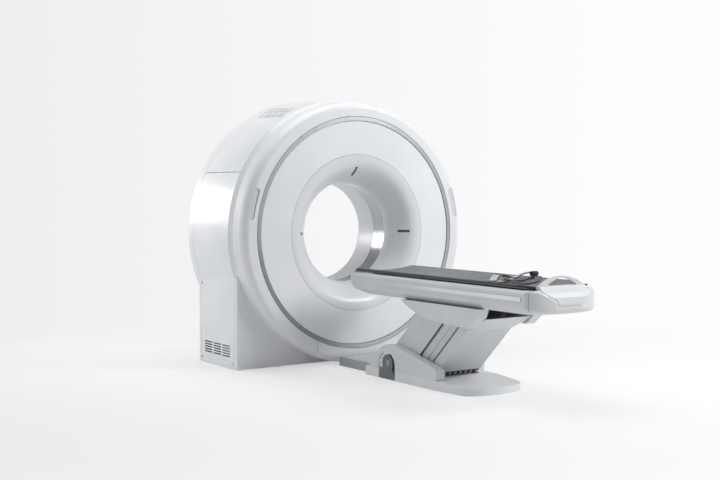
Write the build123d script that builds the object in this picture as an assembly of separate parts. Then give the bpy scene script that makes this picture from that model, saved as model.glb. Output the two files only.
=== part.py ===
from build123d import *
import os
from math import cos, radians, sin, sqrt

os.makedirs("parts", exist_ok=True)

# CT scanner: a gantry with a round bore and a patient table on a slanting lift in front of it.
# Millimetres, Z up, Y along the bore from the table towards the rear of the gantry.
# The origin is on the floor, in the middle of the gantry's four anchor holes.
# Inside this file, "d" is a depth behind the gantry's front face, "v" a distance in front of it
# and "r" a radius from the bore axis.

# Gantry, driving dimensions
ISO = 915                # height of the bore axis
DEPTH = 800              # front face to rear face
FRONT = -DEPTH / 2
BORE_R = 352             # clear patient bore
LEG_X = 888              # half width over the legs
LEG_D = 139              # depth of the legs' front plane
LEG_REAR = 720           # depth of the legs' rear plane
SEAM_F = 177             # seam between the front cover and the side covers
SEAM_R = 680             # seam between the side covers and the rear cover
DRUM_F = 934             # outer radius at the front seam
DRUM_R = 946             # outer radius at the rear seam
WALL = 5                 # moulded cover
SKIN = 4                 # thinner liners
GAP = 3                  # open seam between two covers
KERB = 6                 # covers end this far above the floor
LOWER_X = 344            # half width of the lower front cover
TRIM_IN, TRIM_OUT = 778, 812
DISC_IN = 545            # inner edge of the front disc
THROAT_D = 190           # depth where the front funnel reaches the bore
WINDOW = (200, 330)      # depths of the scan window band
LINER_END = 520          # depth where the rear funnel starts

# Gantry, inside
ROTOR_D = 400            # front of the rotor plate
ROTOR_R = 745
BEARING_R = 430          # split between the inner and the outer race
RUN = 0.05               # radial running clearance
BELT_T = 6
PULLEY_R = 45
MOTOR_AT = (640, 275)    # x and z of the drive motor's shaft
ANCHOR_X, ANCHOR_Y = 700, 190
ANCHOR_HOLE_R = 9
PLATE_T = 12

# Patient table, driving dimensions
TABLE_X = 250            # half width of the base covers
BASE_V = (450, 1455)     # base plate, front edge and rear corners
BASE_BOW = 64            # the rear edge bows out this much at its middle
BASE_ROUND = 75          # rounding of the rear corners
BASE_TAIL = (222, 42)    # half width and height at the rear corners
BASE_BEND = 1180         # the plate narrows and thins from here to its rear edge
BASE_TOP = 60
PIVOT_Z = 105            # lower pivots of the lift
PIVOT_V = (690, 1040)    # front and rear arm pivots
ARM = 570                # pivot to pivot
REST = 44                # arm angle above horizontal as shown
COLUMN_X = 180           # half width of the column covers
BEAM_X = 262             # half width of the beam
BEAM_V = (290, 2028)     # front tip and rear joint with the end cap
END_V = (2000, 2097)     # the table top's plan rounds off between these
BEAM_Z = 533             # underside of the beam
SKIRT_X = 260
CRADLE_X = 235
CRADLE_V = (300, 1990)

BORE = Axis((0, 0, ISO), (0, 1, 0))


def write(shape, node):
    """Write one piece under its node name."""
    export_step(shape, f"parts/{node}.step")


def box(x, y, z):
    """A box from three (low, high) pairs."""
    size = [b - a for a, b in (x, y, z)]
    centre = [(a + b) / 2 for a, b in (x, y, z)]
    return Pos(*centre) * Box(*size)


def both(piece):
    """A piece together with its mirror image on the other side."""
    return piece + mirror(piece, Plane.YZ)


def depth(d):
    """The y of a depth behind the front face."""
    return FRONT + d


def ahead(v):
    """The y of a distance in front of the gantry's face."""
    return FRONT - v


def ring(r_in, r_out, d0, d1, x=0, z=ISO):
    """A plain ring round an axis along the bore, or a disc if r_in is 0."""
    solid = Cylinder(r_out, d1 - d0)
    if r_in:
        solid -= Cylinder(r_in, d1 - d0)
    return Pos(x, depth((d0 + d1) / 2), z) * Rot(90, 0, 0) * solid


def turned(outline, angle=360):
    """A solid turned about the bore axis from a closed (radius, depth) outline."""
    face = outline if isinstance(outline, (Face, Sketch)) else Polygon(*outline, align=None)
    return revolve(Pos(0, FRONT, ISO) * face, BORE, angle)


def across(outline, x0, x1):
    """A solid with a closed (y, z) outline, between two x."""
    face = outline if isinstance(outline, (Face, Sketch)) else Polygon(*outline, align=None)
    return Pos(x0, 0, 0) * extrude(Plane.YZ * face, x1 - x0, dir=(1, 0, 0))


def along(outline, y0, y1):
    """A solid with a closed (x, z) outline, between two y."""
    face = outline if isinstance(outline, (Face, Sketch)) else Polygon(*outline, align=None)
    return Pos(0, y1, 0) * extrude(Plane.XZ * face, y1 - y0, dir=(0, -1, 0))


def pin(r, x0, x1, y, z, hole=0):
    """A round bar or tube across the table."""
    solid = Cylinder(r, x1 - x0)
    if hole:
        solid -= Cylinder(hole, x1 - x0)
    return Pos((x0 + x1) / 2, y, z) * Rot(0, 90, 0) * solid


def upright(r, z0, z1, x, y, hole=0):
    """A round post or tube, standing."""
    solid = Cylinder(r, z1 - z0)
    if hole:
        solid -= Cylinder(hole, z1 - z0)
    return Pos(x, y, (z0 + z1) / 2) * solid


def polar(r, angle):
    """x and z at a radius and an angle above the +X horizontal of the bore axis."""
    return r * cos(radians(angle)), ISO + r * sin(radians(angle))


# Gantry covers
TOP_SEAM_Z = 1335        # side covers end here and the top cover starts
RIM_IN = 30              # depth of the turned-in lip round the trim ring
ROLL_R, ROLL_D = 49, 80  # the face rolls back over this much radius and depth
FACE_R = 866             # the flat face ends here
CHEEK = (921, LEG_D)     # where the ring meets the legs' front plane
REAR_FACE_R, REAR_ROLL = 880, 50   # the rear face ends here and rolls forward over this much depth
REAR_HUB = 565           # edge of the rear funnel
CORNER = 13              # round on the legs' vertical corners
VENT_ROWS, VENT_COLS = 5, 3
VENT_D, VENT_Z = (248, 627), (78, 157)
SLOT_H, SLOT_RIB = 9, 18
GRILLE_OUT = ((490, 235), (490, 586))
GRILLE_IN = ((320, 681), (320, 283))
PANEL_R, PANEL_H = 861.5, 43
PANEL_FROM, PANEL_SPAN = 8.4, 11.2
SHOULDER = ISO - sqrt(DRUM_F**2 - LEG_X**2)
LASER_AT = (0, 90, 180)
SCREWS = ((667, 38), (212, 35), (667, 560))


def leg_block(d0, d1, inset, front_round):
    """Both legs as one block up to where the drum meets their sides."""
    wide = LEG_X - inset
    solid = box((-wide, wide), (depth(d0), depth(d1)), (0, SHOULDER))
    corners = solid.edges().filter_by(Axis.Z)
    picked = corners.group_by(Axis.Y)[0 if front_round else -1]
    return fillet(picked, CORNER - inset)


def floor_cut(solid):
    """The covers stop a little above the floor."""
    return solid - box((-DEPTH * 2, DEPTH * 2), (-DEPTH, DEPTH), (-DEPTH, KERB))


def front_form(inset):
    """Outside of the front cover, or its hollow when moved in by the wall."""
    roll = EllipticalCenterArc((FACE_R, ROLL_D), ROLL_R - inset, ROLL_D - inset, -90, arc_size=90)
    back = SEAM_F + (1 if inset else 0)
    sides = Polyline(
        (FACE_R + ROLL_R - inset, ROLL_D), (CHEEK[0] - inset, CHEEK[1]),
        (DRUM_F - inset, back), (0, back), (0, inset), (FACE_R, inset),
    )
    ring_part = turned(make_face([roll, sides]))
    return ring_part + leg_block(LEG_D + inset, back, inset, True)


def panel_slot(side, width):
    """Rounded strip round the bore axis, on the left (-1) or the right (1)."""
    start = PANEL_FROM if side > 0 else 180 - PANEL_FROM - PANEL_SPAN
    arc = CenterArc((0, ISO), PANEL_R, start, arc_size=PANEL_SPAN)
    return SlotArc(arc, width)


def front_covers():
    """The C-shaped front cover and the piece between the legs."""
    shell = front_form(0) - front_form(WALL)
    lip = ring(TRIM_OUT, TRIM_OUT + WALL, 0, RIM_IN)
    shell = floor_cut(shell - ring(0, TRIM_OUT, -1, SEAM_F + 1) + lip)
    for side in (-1, 1):
        shell -= along(panel_slot(side, PANEL_H), depth(-1), depth(ROLL_D))
    middle = (depth(-1), depth(SEAM_F + 1))
    half = GAP / 2
    lower = shell & box((half - LOWER_X, LOWER_X - half), middle, (0, ISO))
    write(shell - box((-LOWER_X - half, LOWER_X + half), middle, (0, ISO)), "front_cover")
    write(lower, "lower_front_cover")
    for side, name in ((-1, "left"), (1, "right")):
        write(along(panel_slot(side, PANEL_H - 3), depth(6), depth(26)), f"control_panel_{name}")


def drum(inset, d0, d1):
    """The drum and the legs between two depths, growing a little to the rear."""
    slope = (DRUM_R - DRUM_F) / (SEAM_R - SEAM_F)
    outline = [(0, d0), (DRUM_F + slope * (d0 - SEAM_F) - inset, d0),
               (DRUM_F + slope * (d1 - SEAM_F) - inset, d1), (0, d1)]
    wide = LEG_X - inset
    return turned(outline) + box((-wide, wide), (depth(d0), depth(d1)), (0, SHOULDER))


def vent_slots():
    """Rows of slots low in a side cover."""
    slots = None
    pitch_d = (VENT_D[1] - VENT_D[0] + SLOT_RIB) / VENT_COLS
    pitch_z = (VENT_Z[1] - VENT_Z[0] - SLOT_H) / (VENT_ROWS - 1)
    for row in range(VENT_ROWS):
        for col in range(VENT_COLS):
            d, z = VENT_D[0] + col * pitch_d, VENT_Z[0] + row * pitch_z
            cut = box((LEG_X - 20, LEG_X + 20), (depth(d), depth(d + pitch_d - SLOT_RIB)), (z, z + SLOT_H))
            slots = cut if slots is None else slots + cut
    return slots


def grille_patch(shrink):
    """The skewed four-sided exhaust field on the right shoulder, seen from above."""
    (xo, d0), (_, d1) = GRILLE_OUT
    (xi, d2), (_, d3) = GRILLE_IN
    plan = [(xo - shrink, depth(d0 + shrink)), (xo - shrink, depth(d1 - shrink)),
            (xi + shrink, depth(d2 - shrink)), (xi + shrink, depth(d3 + shrink))]
    return Pos(0, 0, TOP_SEAM_Z) * extrude(Polygon(*plan, align=None), DRUM_R, dir=(0, 0, 1))


def grille_slots():
    """Fine slots of one exhaust grille, following its skew."""
    (xo, d0), (_, d1) = GRILLE_OUT
    (xi, d2), (_, d3) = GRILLE_IN
    rows, cols, edge, rib = 12, 4, 8, 8
    slots = None
    for row in range(rows):
        t = (row + 0.5) / rows
        x = xo - edge + (xi - xo + 2 * edge) * t
        near, far = d0 + (d3 - d0) * t + edge, d1 + (d2 - d1) * t - edge
        pitch = (far - near + rib) / cols
        for col in range(cols):
            start = near + col * pitch
            cut = box((x - 4, x + 4), (depth(start), depth(start + pitch - rib)), (TOP_SEAM_Z, ISO + DRUM_R))
            slots = cut if slots is None else slots + cut
    return slots


def drum_covers():
    """Side covers, top cover and the two exhaust grilles."""
    shell = drum(0, SEAM_F + GAP, SEAM_R) - drum(WALL, SEAM_F, SEAM_R + 1)
    shell = floor_cut(shell)
    span = (depth(0), depth(DEPTH))
    side = shell & box((0, DRUM_R), span, (0, TOP_SEAM_Z - GAP / 2))
    side = side - vent_slots() - screw_holes()
    write(side, "side_cover_right")
    write(mirror(side, Plane.YZ), "side_cover_left")
    top = shell & box((-DRUM_R, DRUM_R), span, (TOP_SEAM_Z + GAP / 2, ISO + DRUM_R))
    write(top - both(grille_patch(0)), "top_cover")
    grille = (top & grille_patch(1)) - grille_slots()
    hub = fan_hub(1)
    write(both(grille + hub), "exhaust_grilles")


# Bore liners
FUNNEL = ((DISC_IN, 4), (462, 26), (394, 100), (BORE_R, THROAT_D))
FLARE = ((380, 556), (470, 672))         # places on the rear funnel, radius and depth
FLARE_END = REAR_HUB - 3
FLARE_ENDS = [(0, 1), (1, 0.12)]
LASER_W, LASER_L = 18, 62
LASER_R = 430


def fan_hub(side):
    """Fixed pin that carries one exhaust fan under its grille."""
    pin_solid = Pos(0, 0, (FAN_IN + DRUM_R - 3) / 2) * Cylinder(FAN_PIN, DRUM_R - 3 - FAN_IN)
    return fan_place(side) * pin_solid


def bell(shift):
    """Front funnel curve from its rim to the bore, moved outwards by the skin."""
    lean = 0.7 * shift
    (r0, d0), (r1, d1), (r2, d2), (r3, d3) = FUNNEL
    points = [(r0, d0 + shift), (r1 + lean / 2, d1 + shift), (r2 + shift, d2 + lean), (r3 + shift, d3)]
    return Spline(*points, tangents=[(-1, 0), (-0.15, 1)])


def laser_slot(at):
    """A narrow slot through the funnel on the clock face side given by its angle."""
    x, z = polar(LASER_R, at)
    along_x = LASER_L if at % 180 == 0 else LASER_W
    along_z = LASER_W if at % 180 == 0 else LASER_L
    through = (depth(-5), depth(130))
    return box((x - along_x / 2, x + along_x / 2), through, (z - along_z / 2, z + along_z / 2))


def front_bore():
    """Trim ring, front disc, front funnel with its laser windows, and the window band."""
    trim = [(TRIM_IN + 3, 0), (TRIM_OUT - 3, 0), (TRIM_OUT - 3, 16), (TRIM_OUT - 9, 16),
            (TRIM_OUT - 9, SKIN), (TRIM_IN + 9, SKIN), (TRIM_IN + 9, 16), (TRIM_IN + 3, 16)]
    write(turned(trim), "trim_ring")
    disc = [(DISC_IN + 2, 4), (TRIM_IN, 4), (TRIM_IN, RIM_IN), (TRIM_IN - SKIN, RIM_IN),
            (TRIM_IN - SKIN, 4 + SKIN), (DISC_IN + 2, 4 + SKIN)]
    write(turned(disc), "front_disc")
    outer, inner = bell(0), bell(SKIN)
    join_rim = Line(outer @ 0, inner @ 0)
    end = WINDOW[0] - 2
    throat = Polyline(outer @ 1, (BORE_R, end), (BORE_R + SKIN, end), inner @ 1)
    skin = turned(make_face([outer, inner, join_rim, throat]))
    cuts = laser_slot(0) + laser_slot(90) + laser_slot(180)
    write(skin - cuts, "front_funnel")
    solid = turned(make_face([outer, Polyline(outer @ 1, (BORE_R, end), (DISC_IN, end), outer @ 0)]))
    glass = [shrunk_slot(at) & (solid - Pos(0, 2.5, 0) * solid) for at in LASER_AT]
    write(glass[0] + glass[1] + glass[2], "laser_windows")
    write(ring(BORE_R, BORE_R + 1.5, *WINDOW), "scan_window")


def shrunk_slot(at):
    """The laser slot, a little smaller, for its window."""
    x, z = polar(LASER_R, at)
    slot = laser_slot(at)
    return Pos(x, 0, z) * scale(Pos(-x, 0, -z) * slot, by=(0.97, 1, 0.97))


def rear_bore():
    """Bore liner and the rear funnel behind it."""
    write(ring(BORE_R, BORE_R + SKIN, WINDOW[1] + 2, LINER_END - 1), "bore_liner")
    start, end = LINER_END + 1, DEPTH - 2
    inner = Spline((BORE_R, start), *FLARE, (FLARE_END, end - 6), tangents=FLARE_ENDS)
    skin = [(r + SKIN * 0.8, d - SKIN * 0.6) for r, d in FLARE]
    outer = Spline((BORE_R + SKIN, start), *skin, (FLARE_END, end - 10), tangents=FLARE_ENDS)
    face = make_face([inner, outer, Line(inner @ 0, outer @ 0), Line(inner @ 1, outer @ 1)])
    write(turned(face), "rear_funnel")


def rear_form(inset):
    """Outside of the rear cover, or its hollow when moved in by the wall."""
    middle = (REAR_FACE_R, DEPTH - REAR_ROLL)
    roll = EllipticalCenterArc(middle, DRUM_R - REAR_FACE_R - inset, REAR_ROLL - inset, 0, arc_size=90)
    front = SEAM_R + GAP - (1 if inset else 0)
    sides = Polyline(
        (REAR_FACE_R, DEPTH - inset), (0, DEPTH - inset), (0, front),
        (DRUM_R - inset, front), (DRUM_R - inset, DEPTH - REAR_ROLL),
    )
    return turned(make_face([roll, sides])) + leg_block(front, LEG_REAR - inset, inset, False)


def rear_cover():
    """The back of the gantry, with a lip round the rear funnel."""
    shell = rear_form(0) - rear_form(WALL)
    lip = ring(REAR_HUB, REAR_HUB + WALL, DEPTH - RIM_IN, DEPTH)
    shell = floor_cut(shell - ring(0, REAR_HUB, SEAM_R, DEPTH + 1) + lip)
    write(shell, "rear_cover")


def screw_holes():
    """Clearance holes of one side cover."""
    holes = [pin(4.3, LEG_X - 20, LEG_X + 1, depth(d), z) for d, z in SCREWS]
    return holes[0] + holes[1] + holes[2]


def cover_screws():
    """Button-head screws that hold the side covers, three on each side."""
    screws = None
    for d, z in SCREWS:
        head = pin(9, LEG_X, LEG_X + 3, depth(d), z) - pin(3, LEG_X + 1.5, LEG_X + 4, depth(d), z)
        screw = head + pin(4, LEG_X - 12, LEG_X, depth(d), z)
        screws = screw if screws is None else screws + screw
    write(both(screws), "cover_screws")


# Inside the gantry
FAN_AT = (64.5, 435)     # angle above horizontal and depth of an exhaust fan
FAN_IN, FAN_PIN = 872, 8
FAN_R, FAN_HUB = 78, 24
BLADES = 7
FOOT = 42                # half width of an anchor plate
BEAM_TOP = 72
RAIL_X, RAIL_D = (670, 730), (150, 690)
UPRIGHT_X, UPRIGHT_D, UPRIGHT_TOP = (800, 860), (440, 550), 1100
CROSS_D, CROSS_HALF = (180, 640), 30
STUB_ANGLES = (5, 45, 90, 135, 175)
FEET = ((-560, 180), (560, 180), (-560, 640), (560, 640))
STEM_R, PAD_R = 8, 28
RACE_OUT = 470
STATOR_X, STATOR_FOOT_Z = 800, 520
MOTOR_R, MOTOR_D = 80, (500, 660, 690)
SPINDLE_R, SNOUT_R = 14, 30
CABINET_X, CABINET_D, CABINET_TOP = (-860, -650), (190, 425), 380
HV_X, HV_D, HV_HALF = (500, 690), 230, 130
WEIGHT_X, WEIGHT_D, WEIGHT_HALF = (-690, -520), 250, 150
COLLIMATOR_X, COLLIMATOR_D, COLLIMATOR_R = 80, 235, 425
RIM_D, RIM_T = 250, 12
STATOR = (470, 500)      # depths of the cast stator plate
STATOR_R = 790
HOOP = (855, 885, 520, 550)
PLATE_R = (392, 406)     # rotor hub
RACE_D = (440, 500)
SLIP = (600, 700, 424, 436)
BELT_D = (358, 388)
TUBE_R, TUBE_AT = 95, 620
FOCUS_R = 540
DETECTOR = (960, 1040)   # radii of the detector arc about the focus
FAN_ANGLE = 27


def radial(angle, d):
    """A place on the bore axis whose Z points outwards at an angle above +X."""
    return Pos(0, depth(d), ISO) * Rot(0, 90 - angle, 0)


def fan_place(side):
    """Where an exhaust fan turns, on the right (1) or the left (-1)."""
    angle, d = FAN_AT
    return radial(angle if side > 0 else 180 - angle, d)


def fan(side):
    """One axial fan: a hub with twisted blades."""
    low, high = FAN_IN + 14, FAN_IN + 42
    middle = Pos(0, 0, (low + high) / 2)
    wheel = middle * (Cylinder(FAN_HUB, high - low) - Cylinder(FAN_PIN + RUN, high - low))
    for i in range(BLADES):
        length = FAN_R - FAN_HUB + 3
        blade = Pos(FAN_HUB - 3 + length / 2, 0, 0) * Rot(35, 0, 0) * Box(length, 26, 2.5)
        wheel += middle * Rot(0, 0, 360 * i / BLADES) * blade
    return fan_place(side) * wheel


def sided(side, x0, x1):
    """A span of x on the right (1), or its mirror image on the left (-1)."""
    return sorted((side * x0, side * x1))


def base_frame():
    """Welded frame with anchor plates, two uprights and a hoop for the covers."""
    frame = None
    for sx in (-1, 1):
        rail = box(sided(sx, *RAIL_X), (depth(RAIL_D[0]), depth(RAIL_D[1])), (PLATE_T, BEAM_TOP))
        frame = rail if frame is None else frame + rail
        span = (depth(UPRIGHT_D[0]), depth(UPRIGHT_D[1]))
        frame += box(sided(sx, *UPRIGHT_X), span, (PLATE_T, UPRIGHT_TOP))
        frame += box(sided(sx, RAIL_X[1], UPRIGHT_X[1]), span, (PLATE_T, BEAM_TOP))
        for y in (-ANCHOR_Y, ANCHOR_Y):
            x = sx * ANCHOR_X
            frame += box((x - FOOT, x + FOOT), (y - FOOT, y + FOOT), (0, PLATE_T))
    for d in CROSS_D:
        span = (depth(d - CROSS_HALF), depth(d + CROSS_HALF))
        frame += box((-ANCHOR_X, ANCHOR_X), span, (PLATE_T + 8, BEAM_TOP))
    for sx in (-1, 1):
        for y in (-ANCHOR_Y, ANCHOR_Y):
            frame -= upright(ANCHOR_HOLE_R, -1, PLATE_T + 1, sx * ANCHOR_X, y)
            frame -= upright(ANCHOR_HOLE_R + 12, PLATE_T, BEAM_TOP + 1, sx * ANCHOR_X, y)
    hoop = ring(*HOOP) & box((-DEPTH * 2, DEPTH * 2), (depth(0), depth(DEPTH)), (700, ISO * 3))
    frame += hoop
    for angle in STUB_ANGLES:
        high = DRUM_F + (DRUM_R - DRUM_F) * (HOOP[2] - SEAM_F) / (SEAM_R - SEAM_F) - WALL - 0.6
        stub = Pos(0, 0, (HOOP[0] + 10 + high) / 2) * Box(30, 24, high - HOOP[0] - 10)
        frame += radial(angle, (HOOP[2] + HOOP[3]) / 2) * stub
    write(frame - feet_stems(STEM_R + 0.2), "base_frame")
    write(levelling_feet(), "levelling_feet")


def feet_stems(r):
    """Threaded stems of the levelling feet, or their holes."""
    stems = [upright(r, 8, BEAM_TOP - 8, x, depth(d)) for x, d in FEET]
    return stems[0] + stems[1] + stems[2] + stems[3]


def levelling_feet():
    """Four levelling feet under the cross members."""
    feet = feet_stems(STEM_R)
    for x, d in FEET:
        feet += upright(PAD_R, 0, 10, x, depth(d))
    return feet


def stator():
    """Cast stator plate, outer race and brush block."""
    plate = ring(BEARING_R, STATOR_R, *STATOR)
    span = (depth(STATOR[0]), depth(STATOR[1]))
    low = box((-STATOR_X, STATOR_X), span, (BEAM_TOP, STATOR_FOOT_Z))
    ears = box((-STATOR_X, STATOR_X), span, (ISO - 70, ISO + 70))
    plate = plate + (low + ears) - ring(0, RACE_OUT, STATOR[0] - 1, STATOR[1] + 1)
    mx, mz = MOTOR_AT
    plate -= ring(0, SNOUT_R + 0.2, STATOR[0] - 10, STATOR[1] + 10, mx, mz)
    write(plate, "stator_ring")
    write(ring(BEARING_R + RUN, RACE_OUT, *RACE_D), "main_bearing_outer")
    brushes = box((SLIP[0] + 5, SLIP[1] - 5), (depth(SLIP[3] + 8), depth(STATOR[0])), (ISO - 45, ISO + 45))
    for i in range(5):
        x = SLIP[0] + 14 + 18 * i
        brushes += box((x - 5, x + 5), (depth(SLIP[3] + 1), depth(SLIP[3] + 8)), (ISO - 35, ISO + 35))
    write(brushes, "brush_block")
    body = ring(SPINDLE_R + RUN, MOTOR_R, MOTOR_D[0], MOTOR_D[1], mx, mz)
    body += ring(SPINDLE_R + RUN, SNOUT_R, 402, STATOR[1], mx, mz)
    body += ring(0, MOTOR_R, MOTOR_D[1] - 20, MOTOR_D[2], mx, mz)
    write(body, "drive_motor")
    hub = ring(0, SPINDLE_R, BELT_D[0] - 4, MOTOR_D[1] - 24, mx, mz) + ring(0, PULLEY_R, *BELT_D, mx, mz)
    for d in (BELT_D[0] - 4, BELT_D[1]):
        hub += ring(0, PULLEY_R + 8, d, d + 4, mx, mz)
    write(hub, "motor_pulley")
    write(belt(), "drive_belt")
    write(power_unit(), "power_unit")


def belt():
    """Drive belt round the rotor rim and the motor pulley."""
    mx, mz = MOTOR_AT
    faces = []
    for extra in (0.3 + BELT_T, 0.3):
        big = CenterArc((0, ISO), ROTOR_R + extra, 0, arc_size=360)
        small = CenterArc((mx, mz), PULLEY_R + extra, 0, arc_size=360)
        faces.append(make_hull([big, small]))
    loop = along(faces[0], depth(BELT_D[0] + 1), depth(BELT_D[1] - 1))
    return loop - along(faces[1], depth(BELT_D[0]), depth(BELT_D[1]))


def power_unit():
    """Power distribution cabinet in the left leg, with cooling fins on top."""
    d0, d1 = CABINET_D
    unit = box(CABINET_X, (depth(d0), depth(d1)), (BEAM_TOP, CABINET_TOP))
    for i in range(8):
        x = CABINET_X[0] + 10 + 26 * i
        unit += box((x, x + 4), (depth(d0 + 10), depth(d1 - 10)), (CABINET_TOP, CABINET_TOP + 15))
    return unit


def rotor():
    """The turning part: plate, rim, inner race, slip ring and what the plate carries."""
    d0, d1 = ROTOR_D, ROTOR_D + 24
    plate = ring(PLATE_R[0], ROTOR_R, d0, d1) + ring(ROTOR_R - RIM_T, ROTOR_R, RIM_D, d0)
    plate += ring(*PLATE_R, d1, RACE_D[1])
    write(plate, "rotor_frame")
    write(ring(PLATE_R[1], BEARING_R, *RACE_D), "main_bearing_inner")
    track = ring(*SLIP)
    for i in range(6):
        r = SLIP[0] + 4 + 18 * i
        track -= ring(r, r + 2, SLIP[3] - 3, SLIP[3] + 1)
    write(track, "slip_ring")
    z = ISO + TUBE_AT
    tube = ring(0, TUBE_R, 215, d0, 0, z) + ring(0, 60, 207, 215, 0, z)
    write(tube + box((60, 210), (depth(240), depth(d0)), (z - 50, z + 30)), "xray_tube")
    span = (depth(COLLIMATOR_D), depth(d0))
    write(box((-COLLIMATOR_X, COLLIMATOR_X), span, (ISO + COLLIMATOR_R, z - TUBE_R - 2)), "collimator")
    write(detector_arc(), "detector_arc")
    tank = box(HV_X, (depth(HV_D), depth(d0)), (ISO - HV_HALF, ISO + HV_HALF))
    for i in range(6):
        low = ISO - HV_HALF + 20 + 40 * i
        tank += box((HV_X[0] + 10, HV_X[1] - 10), (depth(HV_D - 10), depth(HV_D)), (low, low + 8))
    write(tank, "hv_generator")
    span = (depth(WEIGHT_D), depth(d0))
    write(box(WEIGHT_X, span, (ISO - WEIGHT_HALF, ISO + WEIGHT_HALF)), "rotor_counterweight")


def detector_arc():
    """Curved detector about the focus, with its mounting flange."""
    focus_z = ISO + FOCUS_R
    far = 1200
    half = radians(FAN_ANGLE)
    slice_pts = [(0, focus_z), (far * sin(-half), focus_z - far * cos(half)),
                 (far * sin(half), focus_z - far * cos(half))]
    wedge = along(slice_pts, depth(200), depth(ROTOR_D))
    arc = ring(DETECTOR[0], DETECTOR[1], 225, 305, 0, focus_z)
    arc += ring(DETECTOR[1] - 30, DETECTOR[1], 305, ROTOR_D, 0, focus_z)
    return arc & wedge


# Patient table
WELL = (160, 184.5)      # slots in the base plate that the column covers dip into
ARM_W = 30               # half width of an arm
FRONT_ARM_X = (100, 125)
REAR_ARM_X = (60, 85)
SHAFT_R, PIN_R = 20, 15
OPEN_PIN = 0.5           # clearance of the front arms' upper pins
SLAT_A, SLAT_B = 0.5, 0.85  # where the slats turn, as fractions of the pivot spacing
SLAT_SHAFT = 8
FRONT_FACE_P = -80       # the front column cover's face, this far above its arms' middle
# The rear cover's back flares at its top, places along the arm and below it
FLARED_BACK = ((450, 61), (501, 78), (557, 100), (604, 109), (640, 119))
STANDOFFS = (150, 380)   # where the covers stand on the arms
FOOT_BLOCK_X = (216, 244)
REAR_BLOCK_X = (144, 159)


def pivot_at(fraction):
    """Distance in front of the face of a lower pivot, from the front (0) to the rear (1)."""
    return PIVOT_V[0] + fraction * (PIVOT_V[1] - PIVOT_V[0])


def lean(v, s, p):
    """y and z of a place s up the arm and p below it, from a lower pivot, at the rest angle."""
    a = radians(REST)
    return ahead(v + s * cos(a) + p * sin(a)), PIVOT_Z + s * sin(a) - p * cos(a)


def leaning(v, outline, x0, x1):
    """A plate across the table whose outline is given as (s, p) places on an arm."""
    return across([lean(v, s, p) for s, p in outline], x0, x1)


def side_shape(outline):
    """(v, z) points as (y, z) points."""
    return [(ahead(v), z) for v, z in outline]


def arm(v, x0, x1, eye):
    """A flat arm with a rounded end at each pivot."""
    plate = leaning(v, [(0, -ARM_W), (ARM, -ARM_W), (ARM, ARM_W), (0, ARM_W)], x0, x1)
    top = lean(v, ARM, 0)
    solid = plate + pin(ARM_W, x0, x1, ahead(v), PIVOT_Z) + pin(ARM_W, x0, x1, *top)
    return solid - pin(eye, x0 - 1, x1 + 1, *top)


def arm_pair(v, xs, eye, shaft_x):
    """Two arms welded to their lower shaft, with a tie tube half way up."""
    solid = arm(v, *xs, eye) + arm(v, -xs[1], -xs[0], eye)
    solid += pin(SHAFT_R, -shaft_x, shaft_x, ahead(v), PIVOT_Z)
    return solid + pin(PIN_R, -xs[0], xs[0], *lean(v, ARM * 0.53, 0))


def cheeks(v, outline, x0, x1):
    """The two side walls of a column cover."""
    return both(leaning(v, outline, x0, x1))


def lift_parts():
    """Both pairs of arms with their column covers, and the two slats between them."""
    front, rear = PIVOT_V
    write(arm_pair(front, FRONT_ARM_X, PIN_R + OPEN_PIN, FOOT_BLOCK_X[1] - 2), "front_arms")
    write(arm_pair(rear, REAR_ARM_X, PIN_R + RUN, REAR_BLOCK_X[1]), "rear_arms")
    p0, top = FRONT_FACE_P, 445
    side = [(-20, p0), (top, p0), (590, 0), (630, 100), (630, 124), (120, 124), (-20, 20)]
    cover = cheeks(front, side, COLUMN_X - 4, COLUMN_X)
    cover += leaning(front, [(0, p0), (top, p0), (top, p0 + 4), (0, p0 + 4)], -COLUMN_X, COLUMN_X)
    for x0, x1 in (FRONT_ARM_X, (-FRONT_ARM_X[1], -FRONT_ARM_X[0])):
        for s in STANDOFFS:
            stud = [(s, p0 + 4), (s + 60, p0 + 4), (s + 60, -ARM_W), (s, -ARM_W)]
            cover += leaning(front, stud, x0, x1)
    cover -= pin(SHAFT_R + 0.5, -COLUMN_X - 1, COLUMN_X + 1, ahead(front), PIVOT_Z)
    write(cover, "front_column_cover")
    back = [(40, 61), *FLARED_BACK]
    side = [(-15, -2), (575, -2), (600, 30), (640, 112), *reversed(back), (-5, 30)]
    cover = cheeks(rear, side, COLUMN_X - 8.5, COLUMN_X - 5)
    face = back + [(s - 2, p - 4) for s, p in reversed(back)]
    cover += leaning(rear, face, 5 - COLUMN_X, COLUMN_X - 5)
    for x0, x1 in (REAR_ARM_X, (-REAR_ARM_X[1], -REAR_ARM_X[0])):
        for s in (STANDOFFS[0], STANDOFFS[1] - 40):
            stud = [(s, ARM_W), (s + 60, ARM_W), (s + 60, 57), (s, 57)]
            cover += leaning(rear, stud, x0, x1)
    write(cover, "rear_column_cover")
    seal = leaning(rear, [(2, 56), (37, 56), (37, 60.5), (2, 60.5)], 9 - COLUMN_X, COLUMN_X - 9)
    write(seal, "foot_seal")
    slat(SLAT_A, [(-12, -30), (ARM - 40, -46), (ARM + 25, 0), (ARM + 25, 60.5), (-12, 60.5)],
         COLUMN_X - 13, COLUMN_X - 9.5, "side_slat_a")
    slat(SLAT_B, [(-12, -50), (60, -75), (ARM - 110, -75), (ARM + 25, 0), (ARM + 25, 65), (-12, 50)],
         COLUMN_X - 17.5, COLUMN_X - 14, "side_slat_b")


def slat(fraction, outline, x0, x1, node):
    """One sliding slat: two side plates on a common lower shaft."""
    v = pivot_at(fraction)
    solid = cheeks(v, outline, x0, x1)
    write(solid + pin(SLAT_SHAFT, -x1, x1, ahead(v), PIVOT_Z), node)


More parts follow.
